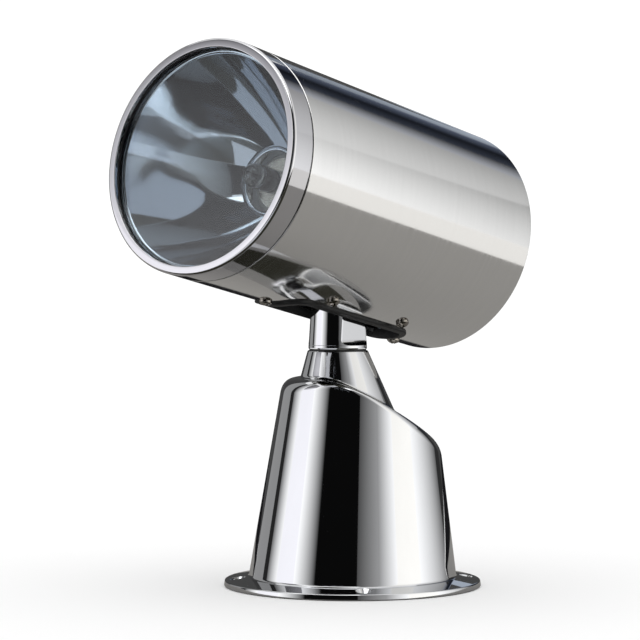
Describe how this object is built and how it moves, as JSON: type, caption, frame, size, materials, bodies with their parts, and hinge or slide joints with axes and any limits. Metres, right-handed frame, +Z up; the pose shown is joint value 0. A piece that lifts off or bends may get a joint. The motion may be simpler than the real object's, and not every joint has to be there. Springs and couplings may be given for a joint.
{
  "type": "marine searchlight",
  "caption": "Deck-mounted marine searchlight: a polished flanged pedestal with a slanted shoulder, a panning post and a tilting stainless lamp barrel with a deep reflector.",
  "frame": {"origin": "centre of the deck flange's underside, where it sits on the deck", "axes": "+Z up along the deck normal, -X towards the pedestal's high bow side, +X aft"},
  "size_m": [0.2689, 0.2722, 0.3342],
  "materials": {
    "polished_steel": "cast stainless steel, mirror polished",
    "polished_bezel": "turned stainless steel, polished",
    "satin_steel": "rolled stainless sheet, fine satin",
    "pressed_steel": "pressed stainless sheet, satin",
    "rubber": "moulded black rubber",
    "shield_plastic": "moulded black plastic, matt",
    "aluminium_sheet": "milled plate",
    "screw_steel": "cold-headed stainless steel",
    "bronze": "sintered bronze",
    "gear_brass": "hobbed brass",
    "spring_steel": "spring steel",
    "pin_steel": "ground steel",
    "gearbox_alloy": "die-cast alloy",
    "motor_steel": "zinc-plated steel can",
    "lens_glass": "clear flat toughened glass",
    "bulb_glass": "clear quartz glass",
    "tungsten": "tungsten wire",
    "mirror_dish": "spun dish, bright silvered",
    "bulb_cap": "pressed steel cap",
    "ceramic": "glazed steatite ceramic"
  },
  "bodies": {
    "base": {"base_casting": "polished_steel", "deck_gasket": "rubber", "base_plate": "aluminium_sheet", "base_plate_screws": "screw_steel", "cable_grommet": "rubber", "chassis_plate": "aluminium_sheet", "chassis_screws": "screw_steel", "pan_upper_bush": "bronze", "pan_lower_bush": "bronze", "neck_seal": "rubber", "pan_gearbox": "gearbox_alloy", "pan_motor": "motor_steel", "pan_motor_screws": "screw_steel"},
    "pan_pinion": {"pan_pinion": "gear_brass"},
    "turret": {"turret_post": "polished_steel", "pan_gear": "gear_brass", "pan_circlip": "spring_steel", "thrust_washer": "bronze", "tilt_sector": "gear_brass", "sector_screws": "screw_steel", "tilt_spacer": "bronze", "tilt_pin": "pin_steel", "tilt_pin_clips": "spring_steel", "slot_shield": "shield_plastic"},
    "tilt_pinion": {"tilt_pinion": "gear_brass"},
    "head": {"barrel": "satin_steel", "rear_cover": "pressed_steel", "bezel_ring": "polished_bezel", "lens_gasket": "rubber", "lens_glass": "lens_glass", "lens_retainer": "aluminium_sheet", "reflector": "mirror_dish", "bulb_glass": "bulb_glass", "bulb_filament": "tungsten", "bulb_cap": "bulb_cap", "bulb_holder": "ceramic", "bulb_clip": "spring_steel", "tilt_frame": "aluminium_sheet", "tilt_bushes": "bronze", "tilt_gearbox": "gearbox_alloy", "tilt_motor": "motor_steel", "tilt_motor_screws": "screw_steel", "barrel_screws": "screw_steel", "slot_trim": "rubber"}
  },
  "joints": [
    {"name": "pan", "type": "hinge", "parent": "base", "child": "turret", "pos_m": [-0.00924, 0, 0.1464], "axis": [0, 0, 1], "range_deg": [-221.33, 128.67]},
    {"name": "tilt", "type": "hinge", "parent": "turret", "child": "head", "pos_m": [-0.00924, 0, 0.237], "axis": [-0.7233, 0.6905, 0], "range_deg": [-26.85, 13.15]},
    {"name": "pan_pinion_spin", "type": "hinge", "parent": "base", "child": "pan_pinion", "pos_m": [0.02826, 0, 0.028], "axis": [0, 0, 1], "range_deg": [-520, 890]},
    {"name": "tilt_pinion_spin", "type": "hinge", "parent": "head", "child": "tilt_pinion", "pos_m": [0.0161, 0.02655, 0.2293], "axis": [-0.7233, 0.6905, 0], "range_deg": [-110, 55]}
  ],
  "couplings": [
    {"joint": "pan_pinion_spin", "follows": "pan", "ratio": -4},
    {"joint": "tilt_pinion_spin", "follows": "tilt", "ratio": 4}
  ]
}
